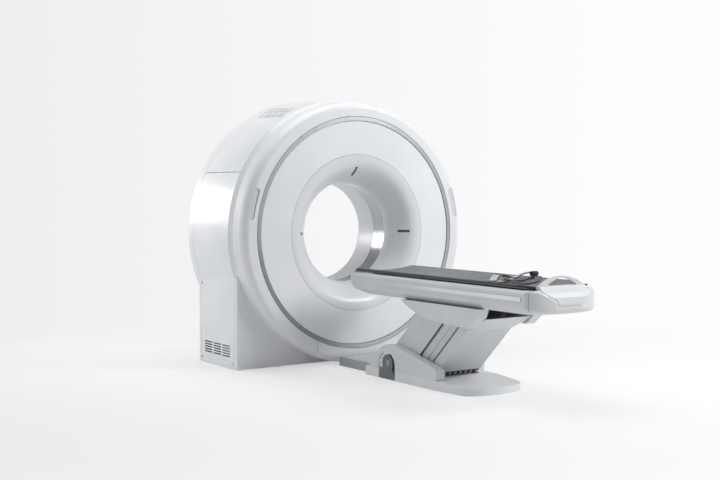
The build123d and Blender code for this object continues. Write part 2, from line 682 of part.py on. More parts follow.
SHOULDER_LINE = ((484, 60), (496, 84), (524, 116), (572, 168), (612, 200), (660, 219), (725, 226), (790, 217))
COVER_NEAR = SHOULDER_LINE + ((859, 204), (1150, 143), (1212, 118), (1206, 60))
COVER_FAR = SHOULDER_LINE + ((859, 204), (1020, 168), (1075, 138), (1068, 60))
ARCH_V, ARCH_R, ARCH_Z = 690, 90, 88


def arch(grow, x0, x1, low):
    """The arch over a front pivot block."""
    r = ARCH_R + grow
    stand = box((x0, x1), (ahead(ARCH_V + r), ahead(ARCH_V - r)), (low, ARCH_Z))
    return stand + pin(r, x0, x1, ahead(ARCH_V), ARCH_Z)


def inset(points, t):
    """The same outline moved in by a wall, with its foot left open."""
    face = offset(Polygon(*points, align=None), amount=-t, kind=Kind.INTERSECTION)
    return face


def base_cover(points, node, side):
    """A side cover of the table base, hollow, open below and towards the column."""
    outline = side_shape(points)
    solid = across(outline, WELL[1] + 0.5, TABLE_X)
    rim = solid.faces().sort_by(Axis.X)[-1].edges().filter_by(lambda e: e.center().Z > BASE_TOP + 1)
    solid = fillet(rim, 8)
    hollow = across(inset(outline, WALL - 1), WELL[1], TABLE_X - WALL + 1)
    foot = box((WELL[1], TABLE_X - WALL + 1), (ahead(points[-1][0] - 8), ahead(points[0][0] + 8)),
               (BASE_TOP - 1, BASE_TOP + WALL))
    shell = solid - hollow - foot - arch(0, TABLE_X - 12, TABLE_X + 1, 0)
    if side < 0:
        shell = mirror(shell, Plane.YZ)
    write(shell, node)


def base_plate():
    """Base plate, narrower and thinner behind the covers, with wells for the column and the blocks."""
    front, corner = BASE_V
    tail_x, tail_z = BASE_TAIL
    rear = corner + BASE_BOW
    sides = Polyline((-tail_x, ahead(corner)), (-TABLE_X, ahead(BASE_BEND)), (-TABLE_X, ahead(front)),
                     (TABLE_X, ahead(front)), (TABLE_X, ahead(BASE_BEND)), (tail_x, ahead(corner)))
    plan = make_face([sides, ThreePointArc(sides @ 1, (0, ahead(rear)), sides @ 0)])
    plan = fillet(plan.vertices().group_by(Axis.Y)[0], BASE_ROUND)
    plate = extrude(plan, BASE_TOP, dir=(0, 0, 1))
    slope = [(BASE_BEND, BASE_TOP), (rear + 5, tail_z), (rear + 5, BASE_TOP + 20), (BASE_BEND, BASE_TOP + 20)]
    plate -= across(side_shape(slope), -TABLE_X - 1, TABLE_X + 1)
    plate -= both(box(WELL, (ahead(1110), ahead(740)), (-1, BASE_TOP + 1)))
    plate -= box((-WELL[1], WELL[1]), (ahead(1104), ahead(1040)), (46, BASE_TOP + 1))
    plate -= both(arch(0, FOOT_BLOCK_X[0] - 2, TABLE_X + 1, -1))
    plate -= box((-140, 140), (ahead(1020), ahead(500)), (-1, BASE_TOP - 12))
    return plate - box((-195, 195), (ahead(1400), ahead(1150)), (-1, 34))


def table_base():
    """Base plate, bridge plate, side covers, pivot blocks and gear motor."""
    write(base_plate(), "table_base")
    bridge = box((-183, 183), (ahead(BASE_V[0]), ahead(20)), (0, 5))
    write(bridge + bridge_top(), "floor_bridge")
    base_cover(COVER_NEAR, "base_cover_left", -1)
    base_cover(COVER_FAR, "base_cover_right", 1)
    write(pivot_blocks(), "pivot_blocks")
    write(gear_motor(), "lift_gearmotor")


def bridge_top():
    """Low duct over the floor between the table base and the gantry."""
    outline = [(30, 5), (38, 62), (450, 62), (450, 5)]
    inner = [(34, 4), (42, 58), (451, 58), (451, 4)]
    return across(side_shape(outline), -183, 183) - across(side_shape(inner), -179, 179)


def pivot_blocks():
    """Front pillow blocks in the arches and the rear brackets with the slat pivots."""
    front, rear = PIVOT_V
    x0, x1 = FOOT_BLOCK_X
    foot = across(side_shape([(front - 80, 0), (front - 80, 22), (front - 46, 70), (front + 46, 70),
                              (front + 80, 22), (front + 80, 0)]), x0, x1)
    block = foot + pin(56, x0, x1, ahead(front), PIVOT_Z)
    block -= pin(SHAFT_R + RUN, x0 - 1, x1 + 1, ahead(front), PIVOT_Z)
    plate = box(REAR_BLOCK_X, (ahead(rear), ahead(832)), (BASE_TOP, 128))
    plate += pin(44.9, *REAR_BLOCK_X, ahead(rear), PIVOT_Z)
    plate -= pin(SHAFT_R + RUN, 140, 180, ahead(rear), PIVOT_Z)
    for fraction in (SLAT_A, SLAT_B):
        plate -= pin(SLAT_SHAFT + RUN, 140, 180, ahead(pivot_at(fraction)), PIVOT_Z)
    return both(block) + both(plate)


def gear_motor():
    """Worm gearbox round the front arms' shaft, with its motor."""
    v = PIVOT_V[0]
    solid = pin(49, -60, 60, ahead(v), PIVOT_Z)
    solid += box((-55, 55), (ahead(v + 42), ahead(v - 42)), (BASE_TOP, PIVOT_Z))
    solid += Pos(0, ahead(v + 98), PIVOT_Z - 5) * Rot(90, 0, 0) * Cylinder(36, 112)
    solid -= box((-61, 61), (ahead(v + 60), ahead(v - 60)), (0, BASE_TOP))
    return solid - pin(SHAFT_R + RUN, -61, 61, ahead(v), PIVOT_Z)


# Table top
LIP = ((222, 667), (245, 667), (262, 652))   # edge of the beam's trough, x and z
BEVEL = ((262, 570), (225, 533))
TROUGH_Z = 640
BEAM_WALL = 6
NOSE = ((290, 607), (330, 562), (458, 533))  # front end seen from the side
RUNNER_X = (70, 90)
RUNNER_LOW, RUNNER_ROOT = 628, 4
TRACK_GAP = 0.5
CRADLE_LOW = 650
CRADLE_EDGE = (675, 683)
MATTRESS_EDGE, MATTRESS_TOP = (683.3, 699), 675
CRADLE_T = 12
STRAP_V, STRAP_W = (1600, 1740), 55
ROLL_STRAP = (14, 184, 226, 1575, 711)   # the rolled strap end: radius, x from and to, distance, height
SKIRT_SIDE = ((860, 532), (890, 505), (1010, 460), (1150, 425), (1400, 413), (1520, 410), (1610, 483),
              (1625, 532))
PASSAGE_X, PASSAGE_V = 190, 882
LINER_X = (185, 189)
LINER_SIDE = ((884, 531), (884, 512), (1010, 465), (1150, 430), (1400, 418), (1515, 415), (1602, 486),
              (1609, 531))
LUG_FRONT_X, LUG_REAR_X = (130, 145), (90, 105)
END_ROUNDS = (33, 22)    # rounds on the lower and upper edges of the table top's rear end
END_SIDE = ((2044, 667), (2066, 650), (2082, 625), (2090, 595), (2090, 560), (2083, 543), (2068, 533))
ARCH_FEET, ARCH_CROWN = (172, 680), 741
GRIP_FEET, GRIP_CROWN = (113, 688), 730
HANDLE_V = (2004, 2028)
HANDLE_SIDE = ((2004, 668.5), (2004, 688), (2030, 688), (2048, 669), (2068, 651), (2084, 626), (2091.5, 595),
               (2091.5, 581), (2066, 581), (2034, 668.5))
HANDLE_FACE = ((80, 581), (88, 612), (142, 638), (172, 660), (172, 688))
HANDLE_SEAM = 1.5


def arc_face(half, low_mid, low_edge, top_mid, top_edge):
    """A crescent cross-section between two arcs, as (x, z)."""
    low = ThreePointArc((-half, low_edge), (0, low_mid), (half, low_edge))
    top = ThreePointArc((-half, top_edge), (0, top_mid), (half, top_edge))
    return make_face([low, top, Line(low @ 0, top @ 0), Line(low @ 1, top @ 1)])


def beam_section(wall):
    """Beam cross-section, or its hollow when moved in by the wall."""
    (x0, z0), (x1, z1), (x2, z2) = LIP
    (x3, z3), (x4, z4) = BEVEL
    if not wall:
        trough = ThreePointArc((-x0, z0), (0, TROUGH_Z), (x0, z0))
        right = Polyline((x0, z0), (x1, z1), (x2, z2), (x3, z3), (x4, z4), (-x4, z4), (-x3, z3),
                         (-x2, z2), (-x1, z1), (-x0, z0))
        return make_face([trough, right])
    low = RUNNER_LOW - wall - 2
    side = x2 - wall
    return Polygon((side, low), (side, z3 + 2), (x4 - 2, z4 + wall), (2 - x4, z4 + wall), (-side, z3 + 2),
                   (-side, low), align=None)


def nose_cut(shift):
    """What the bevelled front end takes off the beam."""
    (v0, z0), (v1, z1), (v2, z2) = NOSE
    points = [(v0 + shift, 800), (v0 + shift, z0), (v1 + shift, z1 + shift * 0.4), (v2 + shift, z2 + shift),
              (v2 + shift, 400), (v0 - 200, 400), (v0 - 200, 800)]
    return across(side_shape(points), -300, 300)


def tracks(x_gap, z_gap, start, end):
    """The cradle's two runners, or their tracks when given a gap."""
    x0, x1 = RUNNER_X
    span = (ahead(end), ahead(start))
    return both(box((x0 - x_gap, x1 + x_gap), span, (RUNNER_LOW - z_gap, CRADLE_LOW + RUNNER_ROOT)))


def beam_parts():
    """Beam with its lugs, side rails, skirt and head cover."""
    v0, v1 = BEAM_V
    solid = (along(beam_section(0), ahead(v1), ahead(v0)) & dome(0)) - nose_cut(0)
    hollow = along(beam_section(BEAM_WALL), ahead(v1 + 1), ahead(v0 + BEAM_WALL)) - nose_cut(BEAM_WALL)
    solid -= hollow & dome(BEAM_WALL)
    solid -= tracks(TRACK_GAP, TRACK_GAP, v0 - 1, v1 - 60)
    front, rear = PIVOT_V
    for v, xs, r in ((front, LUG_FRONT_X, PIN_R), (rear, LUG_REAR_X, PIN_R)):
        y, z = lean(v, ARM, 0)
        lug = box(xs, (y - ARM_W, y + ARM_W), (z, BEAM_Z)) + pin(ARM_W - 4, *xs, y, z)
        inner = FRONT_ARM_X[0] - 4 if v == front else REAR_ARM_X[0] - 4
        solid += both(lug + pin(r, inner, xs[1], y, z))
    write(solid, "beam")
    rail = box((BEAM_X, BEAM_X + 4), (ahead(1980), ahead(330)), (606, 630))
    write(both(rail), "side_rails")
    write(skirt(), "skirt")
    write(passage_liner(), "passage_liner")


def skirt():
    """Fairing under the beam, open below where the column passes."""
    outer = across(side_shape(SKIRT_SIDE), -SKIRT_X, SKIRT_X)
    inner = across(inset(side_shape(SKIRT_SIDE), SKIN), SKIN - SKIRT_X, SKIRT_X - SKIN)
    top = box((SKIN - SKIRT_X, SKIRT_X - SKIN), (ahead(1617), ahead(872)), (BEAM_Z - 12, BEAM_Z))
    passage = box((-PASSAGE_X, PASSAGE_X), (ahead(1640), ahead(PASSAGE_V)), (400, BEAM_Z - 4))
    bevel_room = box((-300, 300), (ahead(1700), ahead(800)), (BEAM_Z - 2, 575))
    return outer - inner - top - passage - bevel_room


def passage_liner():
    """Inner walls of the skirt on both sides of the column, with a strip across their front."""
    walls = both(across(side_shape(LINER_SIDE), *LINER_X))
    (v, top), (_, low) = LINER_SIDE[:2]
    return walls + box((-LINER_X[0], LINER_X[0]), (ahead(v + 4), ahead(v)), (low, top))


def dome(inset):
    """The table top's plan, rounded off at its rear end and along its upper and lower edges."""
    v0, v1 = END_V
    x, z0, z1 = BEAM_X - inset, BEAM_Z + inset, LIP[0][1] - inset
    sides = Polyline((-x, ahead(v0)), (-x, ahead(100)), (x, ahead(100)), (x, ahead(v0)))
    tip = EllipticalCenterArc((0, ahead(v0)), x, v1 - v0 - inset, 180, arc_size=180)
    solid = Pos(0, 0, z0) * extrude(make_face([sides, tip]), z1 - z0, dir=(0, 0, 1))
    for z, radius in zip((z0, z1), END_ROUNDS):
        rims = [e for e in solid.edges() if abs(e.center().Z - z) < 1 and e.center().Y < ahead(150)]
        solid = fillet(rims, radius - inset)
    off = [(v - inset, z + (inset if z < 560 else -inset)) for v, z in END_SIDE]
    beyond = [(off[0][0], 900), *off, (off[-1][0], 300), (v1 + 200, 300), (v1 + 200, 900)]
    return solid - across(side_shape(beyond), -400, 400)


def end_parts():
    """Rounded end cap and the handle in its middle."""
    v1 = BEAM_V[1]
    cap = along(beam_outline(0), ahead(END_V[1] + 1), ahead(v1 + 3)) & dome(0)
    cap -= along(beam_outline(WALL), ahead(END_V[1]), ahead(v1)) & dome(WALL)
    opening = offset(handle_face(), amount=HANDLE_SEAM, kind=Kind.INTERSECTION)
    cap -= along(opening, ahead(END_V[1] + 20), ahead(v1 - 3))
    write(cap, "end_cap")
    write(end_handle(), "end_handle")


def handle_face():
    """The handle's body seen from the rear end."""
    return Polygon(*HANDLE_FACE, *[(-x, z) for x, z in reversed(HANDLE_FACE)], align=None)


def beam_outline(wall):
    """The end cap's cross-section, closed over the top."""
    (_, z0), (x1, _), (x2, z2) = LIP
    (x3, z3), (x4, z4) = BEVEL
    right = [(x1, z0 - wall), (x2 - wall, z2), (x3 - wall, z3), (x4 - wall / 2, z4 + wall)]
    return Polygon(*right, *[(-x, z) for x, z in reversed(right)], align=None)


def arch_face(feet, crown):
    """The area under an arch from foot to foot."""
    x, z = feet
    return make_face([ThreePointArc((-x, z), (0, crown), (x, z)), Line((x, z), (-x, z))])


def end_handle():
    """Arched pull handle with the sloping body that fills the opening of the end cap."""
    body = across(side_shape(HANDLE_SIDE), -TABLE_X, TABLE_X) & along(handle_face(), ahead(2200), ahead(2000))
    hoop = along(arch_face(ARCH_FEET, ARCH_CROWN), ahead(HANDLE_V[1]), ahead(HANDLE_V[0]))
    grip = along(arch_face(GRIP_FEET, GRIP_CROWN), ahead(HANDLE_V[1] + 1), ahead(HANDLE_V[0] - 1))
    return body + (hoop - grip)


def cradle_parts():
    """Cradle with its runners, the mattress and the rolled straps."""
    v0, v1 = CRADLE_V
    section = arc_face(CRADLE_X, CRADLE_LOW, CRADLE_EDGE[0], CRADLE_LOW + CRADLE_T, CRADLE_EDGE[1])
    shell = along(section, ahead(v1), ahead(v0))
    write(shell + tracks(0, 0, v0 + 5, v1 - 200), "cradle")
    low = CRADLE_LOW + CRADLE_T + 0.6
    pad = arc_face(CRADLE_X - 3, low, MATTRESS_EDGE[0], MATTRESS_TOP, MATTRESS_EDGE[1])
    write(along(pad, ahead(v1 - 8), ahead(v0 + 8)), "mattress")
    band = arc_face(CRADLE_X - 12, MATTRESS_TOP + 0.6, 697.6, MATTRESS_TOP + 4, 701)
    straps = [along(band, ahead(v + STRAP_W), ahead(v)) for v in STRAP_V]
    roll = pin(ROLL_STRAP[0], *ROLL_STRAP[1:3], ahead(ROLL_STRAP[3]), ROLL_STRAP[4])
    write(straps[0] + straps[1] + roll, "straps")


front_covers()
drum_covers()
front_bore()
rear_bore()
rear_cover()
cover_screws()
base_frame()
stator()
rotor()
for fan_side, fan_name in ((-1, "left"), (1, "right")):
    write(fan(fan_side), f"fan_{fan_name}")
table_base()
lift_parts()
beam_parts()
end_parts()
cradle_parts()
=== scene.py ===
import bpy
import bmesh
import math
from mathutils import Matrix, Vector


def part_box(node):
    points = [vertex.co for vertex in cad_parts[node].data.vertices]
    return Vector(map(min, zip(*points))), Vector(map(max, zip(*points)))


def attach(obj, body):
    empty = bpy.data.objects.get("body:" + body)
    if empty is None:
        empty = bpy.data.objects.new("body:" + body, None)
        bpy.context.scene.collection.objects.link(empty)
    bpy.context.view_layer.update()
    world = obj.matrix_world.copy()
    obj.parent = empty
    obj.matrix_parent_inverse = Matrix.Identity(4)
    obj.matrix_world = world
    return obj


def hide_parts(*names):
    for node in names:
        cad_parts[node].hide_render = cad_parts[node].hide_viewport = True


# CT scanner: finishes, soft goods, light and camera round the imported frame.
# Metres, Z up, Y from the patient table towards the rear of the gantry.

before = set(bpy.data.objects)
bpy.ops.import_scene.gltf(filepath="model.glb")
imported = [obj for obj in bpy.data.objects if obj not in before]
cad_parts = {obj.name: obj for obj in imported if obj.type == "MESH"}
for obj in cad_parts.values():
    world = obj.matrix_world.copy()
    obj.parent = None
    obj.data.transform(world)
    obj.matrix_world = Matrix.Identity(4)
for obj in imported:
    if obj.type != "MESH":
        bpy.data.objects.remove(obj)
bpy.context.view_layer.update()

FRONT_Y = -0.400                  # front face of the gantry


# Node helpers

def put(tree, kind, inputs=None, **settings):
    """Add a node, set its fields, and fill or link its inputs by name or number."""
    node = tree.nodes.new(kind)
    for name, value in settings.items():
        setattr(node, name, value)
    for name, value in (inputs or {}).items():
        if isinstance(value, bpy.types.NodeSocket):
            tree.links.new(value, node.inputs[name])
        else:
            node.inputs[name].default_value = value
    return node


def math_node(tree, operation, a, b=0.0):
    """The result of a sum on two values or sockets."""
    return put(tree, "ShaderNodeMath", {0: a, 1: b}, operation=operation).outputs[0]


def ramp(tree, factor, low, high):
    """A factor stretched so that low gives 0 and high gives 1."""
    made = put(tree, "ShaderNodeMapRange", {"Value": factor, "From Min": low, "From Max": high})
    return made.outputs["Result"]


def blend(tree, factor, a, b, kind="MIX"):
    """Colour a turned into colour b by a factor."""
    made = put(tree, "ShaderNodeMix", data_type="RGBA", blend_type=kind)
    for socket, value in ((made.inputs[0], factor), (made.inputs[6], a), (made.inputs[7], b)):
        if isinstance(value, bpy.types.NodeSocket):
            tree.links.new(value, socket)
        else:
            socket.default_value = value
    return made.outputs[2]


def new_group(name, inputs, outputs):
    """An empty shader group with named inputs (name, kind, start value) and outputs (name, kind)."""
    group = bpy.data.node_groups.new(name, "ShaderNodeTree")
    for label, kind, start in inputs:
        socket = group.interface.new_socket(label, in_out="INPUT", socket_type=kind)
        socket.default_value = start
    for label, kind in outputs:
        group.interface.new_socket(label, in_out="OUTPUT", socket_type=kind)
    source = group.nodes.new("NodeGroupInput")
    sink = group.nodes.new("NodeGroupOutput")
    return group, source.outputs, sink.inputs


FLOAT, COLOUR, VECTOR = "NodeSocketFloat", "NodeSocketColor", "NodeSocketVector"


# Effects that several finishes share

def make_moulded():
    """Fine orange peel of a sprayed or moulded cover, with slow waviness."""
    group, given, out = new_group(
        "Moulded Skin", [("Peel Size", FLOAT, 260.0), ("Peel", FLOAT, 0.5), ("Wave", FLOAT, 0.5)],
        [("Height", FLOAT)])
    place = put(group, "ShaderNodeTexCoord").outputs["Object"]
    peel = put(group, "ShaderNodeTexNoise", {"Vector": place, "Scale": given["Peel Size"], "Detail": 3.0})
    wave = put(group, "ShaderNodeTexNoise", {"Vector": place, "Scale": 3.0, "Detail": 1.0})
    fine = math_node(group, "MULTIPLY", peel.outputs["Fac"], given["Peel"])
    slow = math_node(group, "MULTIPLY", wave.outputs["Fac"], given["Wave"])
    group.links.new(math_node(group, "ADD", fine, slow), out["Height"])
    return group


def make_tone():
    """Slow drift of tone and gloss over a surface, with faint settled dust on level faces."""
    group, given, out = new_group(
        "Tone Drift",
        [("Color", COLOUR, (0.8, 0.8, 0.8, 1)), ("Drift", FLOAT, 0.03), ("Roughness", FLOAT, 0.4),
         ("Smudge", FLOAT, 0.08), ("Dust", FLOAT, 0.04)],
        [("Color", COLOUR), ("Roughness", FLOAT)])
    texture = put(group, "ShaderNodeTexCoord")
    place = texture.outputs["Object"]
    cloud = put(group, "ShaderNodeTexNoise", {"Vector": place, "Scale": 2.2, "Detail": 4.0}).outputs["Fac"]
    streak = put(group, "ShaderNodeTexNoise",
                 {"Vector": place, "Scale": 24.0, "Detail": 6.0, "Roughness": 0.65})
    smudge = ramp(group, streak.outputs["Fac"], 0.35, 0.7)
    darker = blend(group, 1.0, given["Color"], (0.80, 0.82, 0.86, 1), "MULTIPLY")
    drift = math_node(group, "MULTIPLY", ramp(group, cloud, 0.3, 0.7), given["Drift"])
    toned = blend(group, drift, given["Color"], darker)
    up = put(group, "ShaderNodeSeparateXYZ", {"Vector": texture.outputs["Normal"]}).outputs["Z"]
    level = math_node(group, "MULTIPLY", ramp(group, up, 0.6, 1.0), smudge)
    dusty = math_node(group, "MULTIPLY", level, given["Dust"])
    group.links.new(blend(group, dusty, toned, (0.62, 0.61, 0.58, 1)), out["Color"])
    gloss = math_node(group, "MULTIPLY", smudge, given["Smudge"])
    group.links.new(math_node(group, "ADD", gloss, given["Roughness"]), out["Roughness"])
    return group


def make_grain():
    """Embossed grain of coated upholstery: creased cells with fine pores."""
    group, given, out = new_group(
        "Vinyl Grain", [("Cell", FLOAT, 420.0)], [("Height", FLOAT), ("Cells", FLOAT)])
    place = put(group, "ShaderNodeTexCoord").outputs["Object"]
    bend = put(group, "ShaderNodeTexNoise", {"Vector": place, "Scale": 60.0})
    moved = put(group, "ShaderNodeVectorMath", {0: place, 1: bend.outputs["Color"]}, operation="ADD")
    cells = put(group, "ShaderNodeTexVoronoi", {"Vector": place, "Scale": given["Cell"]},
                feature="DISTANCE_TO_EDGE").outputs["Distance"]
    pores = put(group, "ShaderNodeTexNoise", {"Vector": moved.outputs[0], "Scale": 700.0}).outputs["Fac"]
    crease = ramp(group, cells, 0.0, 0.25)
    height = math_node(group, "ADD", crease, math_node(group, "MULTIPLY", pores, 0.3))
    group.links.new(height, out["Height"])
    group.links.new(crease, out["Cells"])
    return group


def make_weave():
    """Plain weave of webbing, warp along one way and weft across it."""
    group, given, out = new_group(
        "Webbing Weave", [("Threads", FLOAT, 420.0)], [("Height", FLOAT), ("Shade", FLOAT)])
    place = put(group, "ShaderNodeTexCoord").outputs["Object"]
    shared = {"Vector": place, "Scale": given["Threads"], "Distortion": 0.4}
    warp = put(group, "ShaderNodeTexWave", dict(shared), bands_direction="X").outputs["Fac"]
    weft = put(group, "ShaderNodeTexWave", dict(shared), bands_direction="Y").outputs["Fac"]
    crossed = math_node(group, "MULTIPLY", warp, weft)
    group.links.new(crossed, out["Height"])
    group.links.new(math_node(group, "MAXIMUM", warp, weft), out["Shade"])
    return group


def make_brushed():
    """Fine lines along one direction, as left by brushing or turning."""
    group, given, out = new_group(
        "Brushed Lines",
        [("Stretch", VECTOR, (900.0, 6.0, 900.0)), ("Roughness", FLOAT, 0.3), ("Spread", FLOAT, 0.15)],
        [("Height", FLOAT), ("Roughness", FLOAT)])
    place = put(group, "ShaderNodeTexCoord").outputs["Object"]
    scaled = put(group, "ShaderNodeVectorMath", {0: place, 1: given["Stretch"]}, operation="MULTIPLY")
    noise = put(group, "ShaderNodeTexNoise", {"Vector": scaled.outputs[0], "Scale": 1.0, "Detail": 4.0})
    lines = noise.outputs["Fac"]
    rough = math_node(group, "ADD", given["Roughness"], math_node(group, "MULTIPLY", lines, given["Spread"]))
    group.links.new(lines, out["Height"])
    group.links.new(rough, out["Roughness"])
    return group


MOULDED, TONE, GRAIN, WEAVE, BRUSHED = make_moulded(), make_tone(), make_grain(), make_weave(), make_brushed()


def place_group(tree, group, **values):
    """A shader group put into a material, with its named inputs set."""
    node = put(tree, "ShaderNodeGroup", node_tree=group)
    for name, value in values.items():
        node.inputs[name.replace("_", " ")].default_value = value
    return node


def blank(name):
    """A new material and its tree, with the shader already joined to the output."""
    material = bpy.data.materials.new(name)
    material.use_nodes = True
    shader = material.node_tree.nodes["Principled BSDF"]
    return material, material.node_tree, shader


def add_bump(tree, shader, height, distance, strength=1.0):
    """Join a height to the shader's normal."""
    bump = put(tree, "ShaderNodeBump", {"Height": height, "Distance": distance, "Strength": strength})
    tree.links.new(bump.outputs["Normal"], shader.inputs["Normal"])


def plastic(name, colour, roughness=0.38, coat=0.0, peel=0.5, drift=0.5, dust=0.3, specular=0.5):
    """Painted or moulded cover finish."""
    material, tree, shader = blank(name)
    tone = place_group(tree, TONE, Color=(*colour, 1), Roughness=roughness, Drift=drift, Dust=dust)
    tree.links.new(tone.outputs["Color"], shader.inputs["Base Color"])
    tree.links.new(tone.outputs["Roughness"], shader.inputs["Roughness"])
    shader.inputs["Coat Weight"].default_value = coat
    shader.inputs["Coat Roughness"].default_value = 0.12
    shader.inputs["Specular IOR Level"].default_value = specular
    skin = place_group(tree, MOULDED, Peel=peel)
    add_bump(tree, shader, skin.outputs["Height"], 0.0004)
    return material


def metal(name, colour, roughness=0.3, spread=0.15, stretch=(900.0, 6.0, 900.0), lines=0.00006, metallic=1.0):
    """Brushed, turned or ground metal."""
    material, tree, shader = blank(name)
    brushed = place_group(tree, BRUSHED, Stretch=stretch, Roughness=roughness, Spread=spread)
    tone = place_group(tree, TONE, Color=(*colour, 1), Drift=0.6, Dust=0.1)
    tree.links.new(tone.outputs["Color"], shader.inputs["Base Color"])
    tree.links.new(brushed.outputs["Roughness"], shader.inputs["Roughness"])
    shader.inputs["Metallic"].default_value = metallic
    add_bump(tree, shader, brushed.outputs["Height"], lines)
    return material


def vinyl(name, colour, sheen=0.15):
    """Coated upholstery with an embossed grain."""
    material, tree, shader = blank(name)
    grain = place_group(tree, GRAIN)
    tone = place_group(tree, TONE, Color=(*colour, 1), Roughness=0.5, Drift=0.6, Dust=0.5)
    dark = tuple(0.72 * c for c in colour)
    shaded = blend(tree, grain.outputs["Cells"], (*dark, 1), tone.outputs["Color"])
    tree.links.new(shaded, shader.inputs["Base Color"])
    tree.links.new(tone.outputs["Roughness"], shader.inputs["Roughness"])
    shader.inputs["Sheen Weight"].default_value = sheen
    add_bump(tree, shader, grain.outputs["Height"], 0.0005)
    return material


def webbing(name, colour, threads=420.0):
    """Woven strap."""
    material, tree, shader = blank(name)
    weave = place_group(tree, WEAVE, Threads=threads)
    dark = tuple(0.6 * c for c in colour)
    shaded = blend(tree, weave.outputs["Shade"], (*dark, 1), (*colour, 1))
    tree.links.new(shaded, shader.inputs["Base Color"])
    shader.inputs["Roughness"].default_value = 0.85
    shader.inputs["Sheen Weight"].default_value = 0.3
    add_bump(tree, shader, weave.outputs["Height"], 0.0006)
    return material


def mesh_panel(name, colour):
    """Painted sheet with rows of fine punched holes shown as dark dots."""
    material, tree, shader = blank(name)
    place = put(tree, "ShaderNodeTexCoord").outputs["Object"]
    dots = put(tree, "ShaderNodeTexVoronoi", {"Vector": place, "Scale": 170.0, "Randomness": 0.0})
    hole = ramp(tree, dots.outputs["Distance"], 0.34, 0.26)
    tone = place_group(tree, TONE, Color=(*colour, 1), Roughness=0.45, Drift=0.4)
    holed = blend(tree, hole, tone.outputs["Color"], (0.28, 0.28, 0.29, 1))
    tree.links.new(holed, shader.inputs["Base Color"])
    tree.links.new(tone.outputs["Roughness"], shader.inputs["Roughness"])
    add_bump(tree, shader, math_node(tree, "SUBTRACT", 1.0, hole), 0.001)
    return material


def carbon(name):
    """Clear-coated woven fibre with a dark twill."""
    material, tree, shader = blank(name)
    weave = place_group(tree, WEAVE, Threads=260.0)
    shaded = blend(tree, weave.outputs["Shade"], (0.010, 0.011, 0.012, 1), (0.035, 0.038, 0.042, 1))
    tree.links.new(shaded, shader.inputs["Base Color"])
    shader.inputs["Roughness"].default_value = 0.35
    shader.inputs["Coat Weight"].default_value = 0.6
    shader.inputs["Coat Roughness"].default_value = 0.08
    add_bump(tree, shader, weave.outputs["Height"], 0.0001)
    return material


def window_film():
    """Scan window: smooth grey film over the beam's way through the gantry."""
    material, tree, shader = blank("scan window film")
    brushed = place_group(tree, BRUSHED, Stretch=(5.0, 500.0, 5.0), Roughness=0.14, Spread=0.14)
    tree.links.new(brushed.outputs["Roughness"], shader.inputs["Roughness"])
    tone = place_group(tree, TONE, Color=(0.42, 0.43, 0.45, 1), Drift=0.8, Dust=0.0)
    tree.links.new(tone.outputs["Color"], shader.inputs["Base Color"])
    shader.inputs["Metallic"].default_value = 0.75
    shader.inputs["Coat Weight"].default_value = 0.5
    shader.inputs["Coat Roughness"].default_value = 0.05
    return material


COOL = (0.70, 0.71, 0.735)
finishes = {
    "cover paint": plastic("cover paint", (0.77, 0.78, 0.79), 0.42, 0.12),
    "disc plastic": plastic("disc plastic", (0.80, 0.81, 0.825), 0.46, 0.1),
    "bore plastic": plastic("bore plastic", (0.72, 0.73, 0.75), 0.34, 0.25, peel=0.3),
    "table plastic": plastic("table plastic", COOL, 0.45, 0.1),
    "beam paint": plastic("beam paint", (0.66, 0.67, 0.695), 0.40, 0.15, peel=0.35),
    "cap plastic": plastic("cap plastic", (0.72, 0.73, 0.74), 0.48, 0.05),
    "base paint": plastic("base paint", (0.78, 0.79, 0.80), 0.48, 0.05, peel=0.8, dust=0.6),
    "bridge paint": plastic("bridge paint", (0.42, 0.43, 0.45), 0.5, peel=0.8, dust=0.6),
    "arm paint": plastic("arm paint", (0.34, 0.36, 0.39), 0.45, 0.1, peel=0.8),
    "frame paint": plastic("frame paint", (0.12, 0.13, 0.145), 0.55, peel=1.0, dust=0.7),
    "pivot paint": plastic("pivot paint", (0.13, 0.14, 0.155), 0.36, 0.3, peel=0.9),
    "panel plastic": plastic("panel plastic", (0.62, 0.64, 0.67), 0.26, 0.5, peel=0.2),
    "black plastic": plastic("black plastic", (0.012, 0.012, 0.014), 0.5, peel=0.9),
    "slip board": plastic("slip board", (0.05, 0.08, 0.05), 0.3, 0.4, peel=0.2),
    "dark glass": plastic("dark glass", (0.035, 0.037, 0.042), 0.16, 0.8, peel=0.0, drift=0.2, dust=0.0),
    "belt rubber": plastic("belt rubber", (0.014, 0.014, 0.014), 0.75, peel=1.2),
    "trim metal": metal("trim metal", (0.50, 0.51, 0.53), 0.22, stretch=(40.0, 400.0, 40.0)),
    "rail metal": metal("rail metal", (0.70, 0.71, 0.73), 0.34, stretch=(500.0, 5.0, 900.0)),
    "screw metal": metal("screw metal", (0.55, 0.56, 0.58), 0.35, stretch=(400.0, 400.0, 400.0)),
    "bearing steel": metal("bearing steel", (0.50, 0.51, 0.53), 0.25, stretch=(30.0, 900.0, 30.0)),
    "cast metal": metal("cast metal", (0.48, 0.49, 0.51), 0.5, stretch=(160.0, 160.0, 160.0), lines=0.0003),
    "lead": metal("lead", (0.16, 0.17, 0.19), 0.6, stretch=(60.0, 60.0, 60.0), lines=0.0003, metallic=0.8),
    "punched sheet": mesh_panel("punched sheet", (0.76, 0.77, 0.78)),
    "carbon fibre": carbon("carbon fibre"),
    "slate vinyl": vinyl("slate vinyl", (0.115, 0.135, 0.155)),
    "pale webbing": webbing("pale webbing", (0.62, 0.63, 0.64)),
    "dark webbing": webbing("dark webbing", (0.095, 0.100, 0.107)),
    "black webbing": webbing("black webbing", (0.014, 0.014, 0.016)),
    "window film": window_film(),
}

